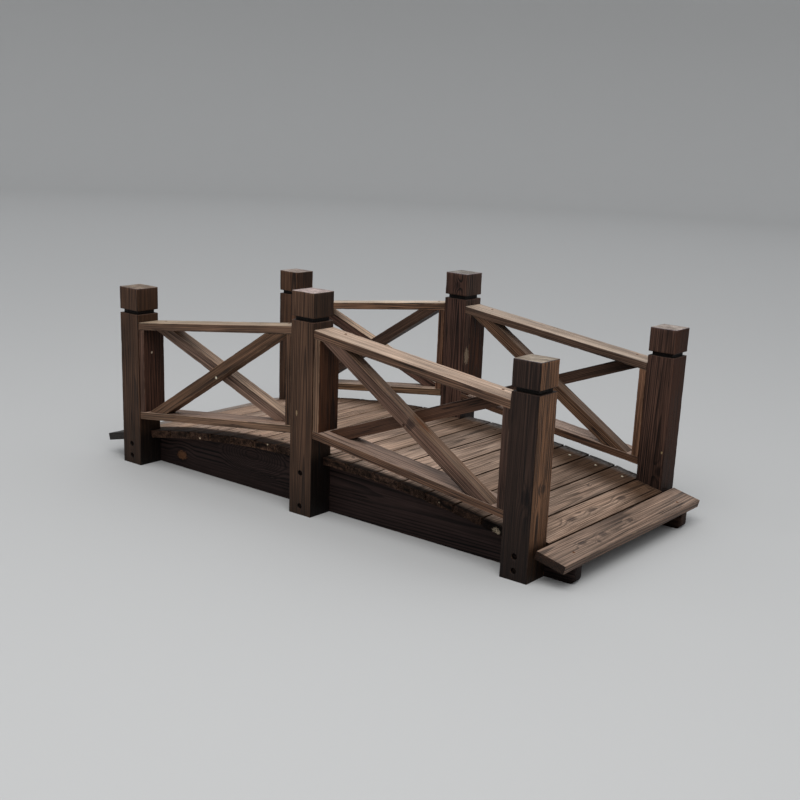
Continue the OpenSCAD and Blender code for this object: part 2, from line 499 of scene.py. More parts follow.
def write_shade(timber, mesh, tint, look):
    """Stores for each face a colour factor, how bold its lines are and whether it is end wood."""
    shade, lines, end_wood = [], [], []
    for face in mesh.polygons:
        turned_to = {"right": face.normal.x, "top": face.normal.z}
        for name, axis in zip(("along", "edge", "wide"), timber.axes):
            turned_to[name] = abs(face.normal.dot(axis))
        colour = [*tint, look.lines]
        for name, cosine in turned_to.items():
            if cosine > square_on:
                colour = [c * f for c, f in zip(colour, (*getattr(look, name), 1.0))]
        shade += colour[:3]
        lines.append(colour[3])
        end_wood.append(float(turned_to["along"] > square_on))
    mesh.attributes.new("shade", "FLOAT_VECTOR", "FACE").data.foreach_set("vector", shade)
    mesh.attributes.new("lines", "FLOAT", "FACE").data.foreach_set("value", lines)
    mesh.attributes.new("end_wood", "FLOAT", "FACE").data.foreach_set("value", end_wood)


# %% [markdown]
# What each point knows
#
# All the timber starts from the same readings: where a point lies in its log and on the
# bridge, which way it looks, and how far it is from an arris, both ends and the outer faces.

# %% Readings
class WoodRecipe(Recipe):
    """A recipe that has read what the mesh stores about its timber."""

    def __init__(self, name):
        super().__init__(name)
        self.place = self.node("ShaderNodeTexCoord").outputs["Object"]
        self.x, self.y, self.z = (self.part(self.place, axis) for axis in "XYZ")
        self.facing = self.node("ShaderNodeNewGeometry").outputs["Normal"]
        self.upper = self.fade(self.part(self.facing, "Z"), 0.3, 0.9)
        self.grain, self.shade = self.read("grain"), self.read("shade")
        for stored in ("arris", "end_wood", "tip", "far_tip", "deep", "lines", "split"):
            setattr(self, stored, self.read(stored, "Fac"))


# %% [markdown]
# Rings
#
# Each year adds a pale soft band and a thin dark hard one. The distance to the pith, divided
# by the width of a ring, counts the years, and what is left over says how far through its
# year a point is. Slow noise bends the log, because no tree is straight, and the rings
# swell round a knot. Where a log has a dent, a flat cut shows closed rings like a target.
# The flame was uneven, so the strength of the dark lines wanders too.

# %% Rings
taper = 0.012
dent_length, dent_height = 170 * mm, 110 * mm


def knot_distance(r):
    """Distance to the nearest knot in units of its radius."""
    nearest = far_off
    for name in knot_names:
        reading = r.read(name)
        distance = r.vector("LENGTH", r.vector("MULTIPLY", reading, (1, 1, 0)))
        behind_pith = r.math("LESS_THAN", r.part(reading, "Z"), 0.0)
        nearest = r.math("MINIMUM", nearest, r.plus(distance, r.times(behind_pith, far_off)))
    return nearest


def bent_log(r, bend):
    """The place in the log, bent as a tree bends: a slow sweep and a small wobble."""
    bent = r.grain
    for waves, detail, size in (((1.6, 9, 9), 1, 30 * mm * bend), ((5, 30, 30), 2, 4 * mm * bend)):
        aside = r.vector("SUBTRACT", r.noise(r.grain, waves, detail, "Color"), (0.5, 0.5, 0.5))
        bent = r.vector("ADD", bent, r.vector("MULTIPLY", aside, (0, size, size)))
    return bent


def dent_of(r, middle, depth):
    """How far the rings dip in round a place on the bridge."""
    aside = r.vector("SUBTRACT", r.place, middle)
    aside = r.vector("MULTIPLY", aside, (1 / dent_length, 0, 1 / dent_height))
    return r.fade(r.vector("LENGTH", aside), 0.0, 1.0, -depth, 0)


def dark_rings(r, bent, knot, ring_gap, dent):
    """How much of a point is dark late wood, from 0 to 1."""
    radius = r.vector("LENGTH", r.vector("MULTIPLY", bent, (0, 1, 1)))
    radius = r.plus(radius, r.times(r.part(bent, "X"), taper), dent)
    swell = r.fade(knot, 0.8, 3.0, 0.9 * ring_gap, 0)
    years = r.math("DIVIDE", r.plus(radius, swell), ring_gap)
    season = r.math("FRACT", r.plus(years, r.swing(bent, (0.6, 45, 45), 1.6, 1)))
    late = r.times(r.fade(season, 0.42, 0.86), r.fade(season, 0.93, 1.0, 1, 0))
    return r.times(late, r.fade(r.noise(bent, (1.2, 24, 24)), 0.3, 0.65, 0.45, 1))


# %% [markdown]
# Streaks and checks
#
# Between the rings run fibres, and the oil follows them in streaks from a hair to a finger
# wide, which are noise drawn out along the grain. Drying timber also tears along the grain.
# A tear is where one slow noise crosses its middle value, which gives thin lines that start
# and end by themselves.

# %% Streaks and checks
def streaks(r, bent, contrast, broad):
    """Factor for the colour, round 1: fibres, narrow and broad streaks, and soft patches."""
    fibres = r.swing(bent, (6, 450, 450), 2.6 * contrast)
    narrow = r.swing(bent, (2.2, 230, 230), 2.2 * contrast)
    wide = r.swing(bent, (0.9, 40, 40), 1.3 * broad)
    patches = r.swing(r.place, (7, 7, 7), 1.1 * broad, 3)
    return r.math("MAXIMUM", r.plus(fibres, narrow, wide, patches, 1.0), 0.12)


def drying_checks(r):
    """1 in a drying check and 0 beside it."""
    crossing = r.math("ABSOLUTE", r.swing(r.grain, (1.4, 110, 110), 1.0))
    chance = r.plus(r.noise(r.grain, (3, 14, 14), 1), r.times(r.split, 0.2))
    check = r.times(r.fade(crossing, 0.004, 0.024, 1, 0), r.fade(chance, 0.54, 0.62))
    return r.times(check, r.minus(1.0, r.end_wood))


# %% [markdown]
# Knots, sawn ends and accidents
#
# A knot is darker than the wood round it and has a thin black ring of bark. The saw leaves
# end wood patchy, rubbed arrises are paler and also carry a painted highlight, the ends drink
# dirt, and grime gathers round a screw. All this could be painted by hand, but a rule that
# reads the mesh puts it in the right spot on all the pieces at once.

# %% Small marks
def add_knots(r, colour, knot):
    soft_knot = r.plus(knot, r.swing(r.place, (130, 130, 130), 0.9))
    bark = r.fade(r.math("ABSOLUTE", r.minus(soft_knot, 0.9)), 0.0, 0.35, 0.3, 0)
    colour = r.darken(colour, (0.28, 0.28, 0.31, 1), r.fade(soft_knot, 0.4, 1.35, 0.85, 0))
    return r.mix(bark, colour, near_black)


def add_saw_marks(r, colour, sawn):
    patches = r.math("MAXIMUM", r.plus(0.84, r.swing(r.place, (60, 60, 60), 3.6 * sawn, 3)), 0.2)
    return r.darken(colour, patches, r.end_wood)


def rub_and_highlight_arrises(r, colour, bare, share):
    # Rubbed arrises are paler, and the pale edge also paints the highlight that an eased arris catches.
    rubbed_and_highlit = r.times(r.fade(r.arris, 0.5 * mm, 4 * mm, 1, 0), r.fade(r.end_wood, 0, 1, 1, 0.15),
                     r.fade(r.noise(r.place, (30, 30, 30)), 0.45, 0.65), share)
    return r.mix(rubbed_and_highlit, colour, r.darken(bare, r.shade))


def dirty_ends(r, colour, share):
    nearest = r.plus(r.math("MINIMUM", r.tip, r.far_tip), r.swing(r.place, (22, 22, 22), 0.07, 3))
    return r.darken(colour, (0.3, 0.26, 0.24, 1), r.fade(nearest, 0.0, 0.025, share, 0))


def add_mark(r, colour, tone):
    spot = r.plus(r.vector("LENGTH", r.read("mark")), r.swing(r.place, (260, 260, 260), 1.4))
    mottle = r.plus(r.times(tone, 0.4), r.swing(r.place, (180, 180, 180), 1.0))
    spot_colour = r.darken(r.read("mark_colour"), r.plus(0.6, mottle))
    return r.mix(r.fade(spot, 0.7, 1.2, 0.9, 0), colour, spot_colour)


def add_grime(r, colour):
    grime = r.plus(r.vector("LENGTH", r.read("screw")), r.swing(r.place, (200, 200, 200), 1.2))
    return r.mix(r.fade(grime, 1.0, 2.2, 0.5, 0), colour, near_black)


# %% [markdown]
# Weather
#
# The sky fades what looks at it, but the dark lines stay, and the pale colour also paints
# the sheen of sky light on the upper faces. On a post that is only its top. The feet of the
# posts are painted darker towards the ground, and darker still beside the beams up to the
# arch of the deck: painted shade. The deck is pale where people walk, darker under the back
# rail as painted shade, nearly black along its front edge and dusty along the back one. All
# of this follows the place on the bridge and not the piece, so it runs on from board to board.

# %% Weather
arch_radius = 4.0


def bleach_and_sky_sheen(r, colour, sky, tone, rings, etch, share, top_only):
    """Fades the upper faces in patches towards the colour that the sky leaves, which also paints their sky
    sheen.
    """
    # Pale faded wood, with a painted sheen of sky light in it.
    faded_with_sheen = r.darken(sky, r.plus(0.35, r.times(tone, 0.65)))
    faded_with_sheen = r.darken(faded_with_sheen, r.minus(1.0, r.times(rings, etch)))
    patches = r.fade(r.noise(r.grain, (3, 26, 26), 3), 0.3, 0.7, 0.5, 1)
    near_top = r.fade(r.tip, 3 * mm, 6 * mm, 1, 0) if top_only else 1.0
    return r.mix(r.times(r.upper, patches, near_top, share), colour, faded_with_sheen)


def shaded_foot(r, colour):
    """A post's painted shade: darker towards the ground, and darker still on the faces that look along the
    beam, below the arch of the deck.
    """
    # Painted shade: the post grows darker towards the ground.
    colour = r.darken(colour, r.fade(r.z, -0.05, 0.3, 0.36, 1.05))
    sideways = r.fade(r.math("ABSOLUTE", r.part(r.facing, "X")), 0.7, 0.9)
    height_in_arch = r.plus(r.z, r.times(r.x, r.x, 1 / (2 * arch_radius)))
    # Painted shade on the faces beside the beam, under the deck.
    shade_beside_beam = r.times(sideways, r.fade(height_in_arch, 0.165, 0.215, 0.7, 0))
    return r.darken(colour, r.minus(1.0, shade_beside_beam))


def walked_on_and_shaded(r, colour):
    """Pale where people walk, with painted shade under the back rail and beside the right end post."""
    across_deck = r.plus(r.y, r.swing(r.place, (6, 4, 6), 0.1))
    pale = r.times(r.fade(r.x, -0.6, 0.1, 1.95, 2.3), r.fade(r.x, 0.25, 0.45, 1.0, 0.65),
                   r.fade(r.x, 0.6, 0.8, 1.0, 0.75))
    trodden = r.fade(r.x, -0.65, -0.3, 1.45, 1.0)
    colour = r.darken(colour, r.fade(across_deck, -0.3, 0.05, pale, trodden))
    across_deck = r.plus(across_deck, r.fade(r.x, -0.6, 0.2, -0.1, 0), r.fade(r.x, 0.5, 0.85, 0, 0.04))
    # Painted shade: the back of the deck, under the back rail, is darker.
    back_rail_shade_strength = r.math("MAXIMUM", r.fade(r.x, -0.15, 0.1, 1.0, 0.84), r.fade(r.x, 0.2, 0.4, 0.84, 1.0))
    return r.darken(colour, (0.3, 0.25, 0.21, 1), r.times(r.fade(across_deck, 0.15, 0.28), back_rail_shade_strength))


def deck_edges(r, colour):
    """A near-black strip along the front edge and dust along the back one."""
    inwards = r.plus(r.fade(r.x, -0.35, 0.05, 0.036, -0.003), r.fade(r.x, -0.6, -0.45, 0.013, 0),
                     r.fade(r.x, 0.45, 0.6, 0, -0.011))
    # The tops of the boards are painted near black along the front edge.
    dark_front_strip = r.times(r.fade(r.minus(r.y, inwards), -0.368, -0.345, 0.96, 0), r.upper)
    colour = r.darken(colour, (0.07, 0.055, 0.05, 1), dark_front_strip)
    specks = r.fade(r.noise(r.place, (110, 80, 110), 4), 0.35, 0.6, 0.35, 1)
    dust = r.times(r.fade(r.y, 0.33, 0.375), r.fade(r.x, 0.0, 0.15), r.upper, specks)
    return r.mix(dust, colour, paint(120, 115, 112))


# %% [markdown]
# The wood itself
#
# One recipe draws all the timber, because all of it is the same scorched softwood: first
# the rings and streaks that grew, bleached where the sky sees them with a painted sky sheen,
# then the knots, the shade of the stain, wear, painted shade and dirt. Grooves and bores are
# painted near black: painted shade.

# %% Wood recipe
def wood(name, early, late, sky, bare, ring_gap, contrast=1.1, broad=1.0, bend=0.4, etch=0.35,
         bleach_and_sheen_share=0.5, rough=0.6, gloss=0.2, sawn=0.35, end_dirt=0.0, is_post=False, walked_and_shaded=False,
         rub_and_highlight=0.4, dent=None):
    r = WoodRecipe(name)
    bent, knot = bent_log(r, bend), knot_distance(r)
    rings = dark_rings(r, bent, knot, ring_gap, dent_of(r, *dent) if dent else 0.0)
    rings = r.times(rings, r.lines)
    tone = r.minus(streaks(r, bent, contrast, broad), 1.0)
    tone = r.plus(r.times(tone, r.lines), 1.0)
    colour = r.darken(r.mix(rings, paint(*early), paint(*late)), tone)
    colour = bleach_and_sky_sheen(r, colour, paint(*sky), tone, rings, etch, bleach_and_sheen_share, is_post)
    colour = add_knots(r, colour, knot)
    colour = add_saw_marks(r, colour, sawn)
    colour = r.darken(colour, r.shade)
    colour = rub_and_highlight_arrises(r, colour, paint(*bare), rub_and_highlight)
    if is_post:
        colour = shaded_foot(r, colour)
    else:
        # Every other piece is darker towards the ground, below 15 cm.
        colour = r.darken(colour, r.fade(r.z, 0.0, 0.15, 0.6, 1.0))
    if end_dirt:
        colour = dirty_ends(r, colour, end_dirt)
    if walked_and_shaded:
        colour = deck_edges(r, walked_on_and_shaded(r, colour))
    # Grooves and bores are painted near black: painted shade in the recesses.
    colour = r.mix(r.fade(r.deep, 1.2 * mm, 4 * mm, 0, 0.95), colour, near_black)
    checks = drying_checks(r)
    colour = r.mix(r.times(checks, 0.85), colour, near_black)
    colour = add_grime(r, add_mark(r, colour, tone))

    relief = r.plus(r.times(rings, 0.5), r.times(tone, 0.5))
    relief = r.minus(relief, r.times(checks, 1.6))
    r.coat({"Base Color": colour, "Roughness": r.plus(rough, r.times(rings, -0.12)),
            "Normal": r.bump(relief, 0.7, 0.8 * mm), "Specular IOR Level": gloss})
    print("finish", name, "has", len(r.tree.nodes), "nodes")
    return r.material


# %% [markdown]
# Seven finishes
#
# All the timber got the same scorching, but the light has worked on it for years. The beams
# never see the sun and are nearly black, the posts and braces kept their brown, and the
# rails and the deck, which lie flat, went pale and pinkish, a colour that also paints their
# sheen of sky light. The beams have the wide rings of a wide log, with a dent in them. For
# each finish the four colours are those of early and late wood, of wood that the sky has
# bleached, with its painted sheen, and of rubbed wood, which also paints arris highlights.

# %% Finishes
finishes = {
    "post_wood": wood(
        "scorched_post", (92, 65, 49), (28, 19, 15), (204, 186, 178), (112, 84, 62), 4.4 * mm,
        bend=0.15, bleach_and_sheen_share=0.85, gloss=0.15, is_post=True, rub_and_highlight=0.25),
    "beam_wood": wood(
        "dark_beam", (60, 43, 35), (8, 7, 6), (60, 50, 44), (58, 44, 36), 7.5 * mm,
        contrast=0.5, broad=0.6, bend=0.3, bleach_and_sheen_share=0.3, rough=0.7, gloss=0.08, rub_and_highlight=0.2,
        dent=((-0.3, 0, 0.12), 75 * mm)),
    "deck_wood": wood(
        "faded_deck", (134, 108, 90), (62, 46, 38), (184, 160, 142), (160, 136, 116), 4.2 * mm,
        contrast=1.2, broad=0.6, bleach_and_sheen_share=0.6, rough=0.7, gloss=0.04, sawn=0.8, end_dirt=0.4, walked_and_shaded=True),
    "end_board_wood": wood(
        "end_board", (138, 112, 94), (58, 42, 34), (172, 148, 130), (170, 142, 114), 6.5 * mm,
        contrast=1.2, broad=0.35, etch=0.5, end_dirt=0.3),
    "rail_wood": wood(
        "faded_rail", (108, 81, 64), (48, 33, 26), (216, 192, 173), (150, 124, 102), 4.2 * mm,
        broad=0.7, bend=0.3, bleach_and_sheen_share=0.85, gloss=0.18),
    "brace_wood": wood(
        "brace", (108, 79, 62), (42, 29, 23), (168, 144, 125), (140, 112, 90), 4.2 * mm,
        contrast=1.2, broad=0.8, bleach_and_sheen_share=0.6, gloss=0.15),
    "stile_wood": wood(
        "stile", (84, 60, 46), (32, 21, 17), (130, 112, 100), (126, 98, 76), 4.2 * mm,
        broad=0.9, gloss=0.12),
}


# %% [markdown]
# Dressing a piece
#
# One function now does the whole job for a solid: it finds the grain, slices, wears, writes
# the log into the mesh, gives the finish and lets the piece stand in the solid's place. The
# dice are named after the piece, so its look stays the same from run to run.

# %% Dress
@dataclass
class Look:
    """All that sets one piece apart from the others."""

    steps: tuple = (9 * mm, 8 * mm, 8 * mm)
    ragged: float = 0.0
    pith: tuple = ()
    knots: tuple = ()
    mark: Mark = Mark()
    screw: tuple = nowhere
    lines: float = 1.0
    split: float = 0.0
    tint: tuple = (1, 1, 1)
    right: tuple = (1, 1, 1)
    top: tuple = (1, 1, 1)
    along: tuple = (1, 1, 1)
    edge: tuple = (1, 1, 1)
    wide: tuple = (1, 1, 1)


dressed = {}


def dress(node, finish, names=None, own=None, **common):
    """Worn copies of a node's solids, which stand for the node."""
    for solid, name in zip(solids_of(node), names or [node + "_timber"]):
        look = Look(**common, **(own or {}).get(name, {}))
        dice = random.Random(name)
        seed = dice.uniform(0, 9)
        flat_sawn = (dice.uniform(-0.04, 0.04), dice.choice((-1, 1)) * dice.uniform(0.04, 0.09))
        warmth = dice.uniform(-0.03, 0.03)
        timber = Timber(solid)
        slice_evenly(timber, look.steps, look.mark)
        wear(timber, seed, look.ragged, look.mark)
        mesh = bpy.data.meshes.new(name)
        solid.to_mesh(mesh)
        solid.free()
        write_log(timber, mesh, look, seed, look.pith or flat_sawn)
        red, green, blue = look.tint
        write_shade(timber, mesh, (red * (1 + warmth), green, blue * (1 - warmth)), look)
        mesh.shade_smooth()
        mesh.set_sharp_from_angle(angle=math.radians(40))
        mesh.materials.append(finishes[finish])
        piece = show(name, mesh)
        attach(piece, "root")
        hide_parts(node)
        dressed[name] = timber


# %% [markdown]
# Posts
#
# A post of this size is sawn round the heart of a young tree, so its pith is inside it or
# close to a face, and the rings run as straight streaks on all four sides. The near right
# post was scorched hardest: its front is almost black, and its right face, which caught less
# flame, is a warm brown. A knot is given by its place along, across and through the piece
# and its radius, in millimetres, and by how far it is drawn out along the grain.

# %% Posts
post_looks = {
    "front_right_post": dict(
        tint=(0.27, 0.31, 0.4), lines=0.6, split=0.9,
        right=(6.2, 5.4, 3.7, 1.5), top=(2.4, 2.2, 1.5),
        knots=[(-45, -5, 45, 8, 1.6), (-64, 45, 22, 13, 1.6)]),
    "front_mid_post": dict(
        tint=(0.73, 0.78, 0.81), lines=0.7, right=(0.38, 0.39, 0.41), top=(1.42, 1.32, 1.33),
        mark=Mark((-25, 45, -18), (9, 3, 3), colour=paint(154, 130, 100))),
    "front_left_post": dict(
        tint=(0.62, 0.64, 0.65), lines=0.8, right=(0.6, 0.56, 0.5), top=(0.79, 0.7, 0.55)),
    "back_right_post": dict(
        tint=(0.5, 0.53, 0.65), lines=0.9, split=0.9,
        right=(0.7, 0.4, 0.17, 0.6), top=(1.5, 1.5, 1.2),
        knots=[(-148, 45, 30, 9, 1.5)], mark=Mark((-85, 45, 36), (4, 3, 3), colour=paint(150, 130, 95))),
    "back_mid_post": dict(
        tint=(0.71, 0.75, 0.95), right=(0.69, 0.77, 0.77), top=(0.97, 1.06, 0.85),
        knots=[(307, 45, 8, 8, 1.4)]),
    "back_left_post": dict(tint=(0.65, 0.66, 0.65), right=(0.5, 0.45, 0.4), top=(1.1, 1.1, 1.1)),
}
for node, look in post_looks.items():
    dice = random.Random("pith of " + node)
    pith = (dice.uniform(-0.02, 0.02), dice.uniform(0.012, 0.03))
    dress(node, "post_wood", pith=pith, **look)


# %% [markdown]
# Beams
#
# The two beams are cut from wide flat-sawn planks, so their outer faces show flames: rings
# that run along the plank and then close in tall arches. The front one has an orange-brown
# knot near its left end.

# %% Beams
beam_steps = (11 * mm, 11 * mm, 11 * mm)
amber = Mark((-641, 39, -18), (23, 16, 8), colour=paint(92, 62, 42))
dress("front_beam", "beam_wood", steps=beam_steps, pith=(-20 * mm, 44 * mm), tint=(0.76, 0.84, 1.05),
      knots=[(-641, 39, -18, 17, 1.5)], mark=amber)
dress("back_beam", "beam_wood", steps=beam_steps, along=(1.6, 1.6, 1.6))


# %% [markdown]
# Deck
#
# Every board came from another plank, so each has its own tone, and the ones on the right
# are the most trodden. Their sawn ends are dark with dirt, and on some boards painted shade
# makes them darker still, as if the end stood back in shadow. One of them lost a splinter
# at its front end, where the raw wood shows. Every board is held by one screw over each
# beam. The last one has three long knots that the saw cut lengthwise.

# %% Deck
screw_reach, screw_aside, board_top = 315 * mm, -14 * mm, 12.5 * mm
usual_tone, usual_end_dirt_and_shade = 0.93, 0.19
board_tones = {1: 0.7, 2: 0.8, 3: 0.82, 4: 1.02, 6: 1.07, 7: 0.82, 10: 0.71, 11: 0.7, 13: 0.77,
               14: 0.65, 15: 0.54, 16: 0.76}
# Tones of the board ends: dirt, and on some boards painted shade.
end_dirt_and_shade_tones = {2: 0.24, 3: 0.27, 5: 0.12, 6: 0.16, 7: 0.22, 8: 0.13, 10: 0.23, 14: 0.27, 15: 0.26, 16: 0.04}
board_looks = {
    4: dict(mark=Mark((-386, 0, -6), (3, 4, 3))),
    7: dict(mark=Mark((-385, -14, 8), (3, 4, 3))),
    14: dict(mark=Mark((-386, 0, 2), (3, 4, 3))),
    8: dict(mark=Mark((-347, 5, 12), (5, 4, 4))),
    16: dict(mark=Mark((-386, -4, -5), (8, 14, 9), 3, paint(172, 156, 134)), knots=[(136, 10, 12, 5, 1.2)]),
    17: dict(knots=[(-139, 4, 12, 8, 3.2), (-16, 3, 12, 7, 3.4), (153, -1, 12, 8, 3.0)]),
}
for number in range(1, 18):
    tone = board_tones.get(number, usual_tone)
    end_dirt_and_shade = end_dirt_and_shade_tones.get(number, usual_end_dirt_and_shade)
    # The boards' side faces, down in the seams, are painted at a third of their tone: painted shade between
    # the boards.
    dress(f"deck_board_{number:02d}", "deck_wood", ragged=3.5 * mm, tint=(tone, tone, tone),
          along=(end_dirt_and_shade, 0.92 * end_dirt_and_shade, 0.92 * end_dirt_and_shade), edge=(0.35, 0.33, 0.32),
          screw=(screw_reach, screw_aside, board_top), **board_looks.get(number, {}))


# %% [markdown]
# End boards
#
# A wider board closes the deck at each end and overhangs the beams. The right one is a warm
# mid-brown with four flat knots. The left one is pale with dust, and its front end is nearly
# black.

# %% End boards
right_end_knots = [(-240, 3, 12, 7, 2.8), (-130, 1, 12, 6, 3.2), (-182, -16, 12, 4, 1.8), (37, 3, 12, 6, 2.4)]
# Paints the front end of the left end board nearly black.
dark_front_end = Mark((-430, 0, 0), (140, 200, 100), colour=paint(27, 26, 26))
dress("right_end_board", "end_board_wood", tint=(0.8, 0.81, 0.83), along=(0.19, 0.14, 0.105),
      edge=(0.9, 0.88, 0.88), knots=right_end_knots)
dress("left_end_board", "end_board_wood", tint=(1.0, 1.15, 1.3), mark=dark_front_end)


# %% [markdown]
# Rail panels
#
# Each panel has two flat rails, two stiles against the posts and a pair of crossed braces.
# The rails lie with their wide faces up, so those are bleached to a pale pinkish brown, with
# painted sky sheen, while the edges keep their stain. In each pair one brace is darker than
# its partner: painted shade, as it lies behind the other where they cross. The stiles' edges
# are lighter and their wide faces, which look at the posts, darker: partly how the stain
# took, partly painted light on the edges and painted shade on the wide faces.

# %% Rails, braces and stiles
# Each brace's tint also paints shade on the brace that lies behind its partner.
panel_looks = {
    "front_left": dict(
        top_rail=dict(tint=(0.95, 0.98, 0.98), top=(0.86, 0.83, 0.74)),
        bottom_rail=dict(tint=(1.0, 1.04, 1.0), top=(0.65, 0.54, 0.52)),
        inward_brace=dict(tint=(0.79, 0.79, 0.71)),
        outward_brace=dict(tint=(1.4, 1.64, 1.9), top=(1.17, 1.02, 0.85))),
    "front_right": dict(
        top_rail=dict(tint=(0.86, 0.88, 0.9), top=(1.01, 0.97, 0.92)),
        bottom_rail=dict(tint=(0.78, 0.74, 0.7), top=(0.87, 0.84, 0.87)),
        inward_brace=dict(
            tint=(0.77, 0.82, 0.91), top=(0.89, 0.76, 0.62), knots=[(26, -21, 13, 5, 2.6)],
            mark=Mark((46, 6, 19), (36, 7, 5), colour=paint(104, 70, 50))),
        outward_brace=dict(tint=(0.52, 0.48, 0.47), lines=0.6)),
    "back_left": dict(
        top_rail=dict(tint=(1.35, 1.34, 1.24), top=(0.92, 0.98, 1.03)),
        bottom_rail=dict(tint=(1.2, 1.28, 1.19), top=(0.51, 0.45, 0.47)),
        inward_brace=dict(tint=(0.42, 0.44, 0.46)),
        outward_brace=dict(tint=(0.76, 0.77, 0.9), top=(4.0, 4.4, 3.8))),
    "back_right": dict(
        top_rail=dict(tint=(0.57, 0.62, 0.67), top=(1.36, 1.29, 1.18)),
        bottom_rail=dict(
            tint=(0.62, 0.58, 0.55), top=(1.47, 1.5, 1.6),
            # A dark mark on the left end of the top: painted shade, where this rail lies in shadow.
            mark=Mark((-250, -38, 12), (95, 16, 8), colour=paint(50, 38, 34))),
        inward_brace=dict(tint=(0.76, 0.79, 0.75), top=(0.67, 0.63, 0.65)),
        outward_brace=dict(tint=(0.34, 0.35, 0.37))),
}
# Edge factors paint light on the stiles' edges and wide factors paint shade on their wide faces; both also
# hold how the stain took.
stile_looks = {
    "front_left_end_stile": dict(
        edge=(1.13, 1.15, 1.3), wide=(0.56, 0.5, 0.54),
        mark=Mark((64, 10, 12.5), (4, 4, 4), colour=paint(178, 162, 142))),
    "front_left_mid_stile": dict(edge=(1.1, 1.1, 1.05), wide=(0.7, 0.62, 0.58)),
    "front_right_mid_stile": dict(edge=(1.68, 1.9, 1.95), wide=(0.58, 0.44, 0.34)),
    "front_right_end_stile": dict(edge=(0.68, 0.74, 0.9), wide=(0.6, 0.55, 0.5)),
    "back_left_mid_stile": dict(edge=(1.63, 1.58, 1.54), wide=(0.7, 0.62, 0.58)),
    "back_right_mid_stile": dict(
        edge=(0.61, 0.67, 0.82), wide=(0.56, 0.38, 0.26),
        mark=Mark((-4, 44, 2.5), (28, 9, 9), colour=paint(112, 98, 82))),
    "back_right_end_stile": dict(edge=(2.0, 2.0, 1.93), wide=(0.6, 0.55, 0.5)),
}
for side in ("front", "back"):
    for end in ("left", "right"):
        for kind, look in panel_looks[f"{side}_{end}"].items():
            dress(f"{side}_{end}_{kind}", kind.split("_")[-1] + "_wood", **look)
    stile_names = [f"{side}_{place}_stile" for place in ("left_end", "left_mid", "right_mid", "right_end")]
    dress(side + "_stiles", "stile_wood", names=stile_names, own=stile_looks)


# %% [markdown]
# Steel
#
# The bolts and screws are zinc-plated steel, which is bright when new. The bolts, deep in
# their holes, are painted nearly black as painted shade, and in a deck the zinc goes brown
# with dirt. Each metal has a second tone in patches, and where that lies the steel is rough and no longer
# shines.

# %% Steel
def steel(name, base, stain, metal, stain_share, gloss=0.5):
    r = Recipe(name)
    place = r.node("ShaderNodeTexCoord").outputs["Object"]
    spread = stain_share / 2
    patch = r.fade(r.noise(place, (160, 160, 160), 4), 0.5 - spread, 0.72 - spread)
    grain = r.noise(place, (900, 900, 900), 3)
    r.coat({"Base Color": r.mix(patch, base, stain), "Roughness": r.fade(patch, 0, 1, 0.42, 0.8),
            "Metallic": r.fade(patch, 0, 1, metal, 0.0), "Normal": r.bump(grain, 0.3, 0.1 * mm),
            "Specular IOR Level": gloss})
    print("metal", name, "made")
    return r.material


# Nearly black: painted shade for bolts deep in their counterbores.
bolt_steel = steel("shade_black_bolt_steel", paint(10, 9, 9), paint(24, 15, 11), 0.2, 0.4, gloss=0.05)
clean_zinc = steel("clean_zinc", paint(216, 208, 186), paint(140, 116, 84), 0.3, 0.1)
dull_zinc = steel("dull_zinc", paint(84, 68, 54), paint(58, 38, 27), 0.4, 0.5, gloss=0.2)
stained_zinc = steel("stained_zinc", paint(132, 102, 78), paint(98, 66, 46), 0.3, 0.5, gloss=0.2)


# %% [markdown]
# Bolts
#
# Two bolts with hexagon heads hold each post to its beam. Their heads sit deep in round
# counterbores, and washer, nut and a few turns of thread stand on the beam's inner face. The
# whole bolt is turned in one go. For a hexagon the radius follows the flat sides instead of
# a circle, and a chamfer circle cuts its corners, as on a real bolt.

# %% Form of a bolt
washer_radius, washer_thick, shank_radius, flats = 8 * mm, 1.6 * mm, 4 * mm, 13 * mm
head_height, nut_height, thread_out = 5.3 * mm, 6.5 * mm, 4 * mm
pitch, thread_depth = 1.25 * mm, 0.6 * mm
chamfer, face_radius, corner_radius = 0.6 * mm, 5.9 * mm, 6.9 * mm


def hexagon(flats, corner=1.0):
    """Radius of a hexagon over its angle, with its corners cut to a circle."""
    half_side = math.pi / 6
    return lambda angle: min(corner, flats / 2 / math.cos((angle + half_side) % (2 * half_side) - half_side))


def bolt_profile(grip):
    """Bolt from the middle of its head to the end of its thread; the seat of the head is at 0."""
    top = washer_thick + head_height
    nut = -grip - washer_thick
    end = nut - nut_height
    cut_corner, full_corner = hexagon(flats, corner_radius), hexagon(flats)
    head = [(0, top), (face_radius, top), (cut_corner, top - chamfer / 2), (full_corner, top - 2 * chamfer),
            (full_corner, washer_thick), (washer_radius, washer_thick), (washer_radius, 0)]
    shank = [(shank_radius, 0), (shank_radius, -grip)]
    nut_end = [(washer_radius, -grip), (washer_radius, nut), (full_corner, nut),
               (full_corner, end + 2 * chamfer), (cut_corner, end + chamfer / 2), (face_radius, end)]
    thread = [(shank_radius, end)]
    for start in (end - turn * pitch for turn in range(int(thread_out / pitch))):
        thread += [(shank_radius - thread_depth, start - pitch / 2), (shank_radius, start - pitch)]
    thread += [(shank_radius - chamfer, end - thread_out), (0, end - thread_out)]
    return head + shank + nut_end + thread


# %% [markdown]
# Setting the bolts
#
# A bolt is made once and copied to each place by a placing: a matrix that says where it
# stands and which way it points. The places come from the boxes of the beams and posts.
# Both bolts of a post are one piece.

# %% Set the bolts
counterbore_depth = 12 * mm
post_width = 90 * mm
low_bolt, high_bolt = 28 * mm, {"mid": 135 * mm, "left": 70 * mm, "right": 70 * mm}


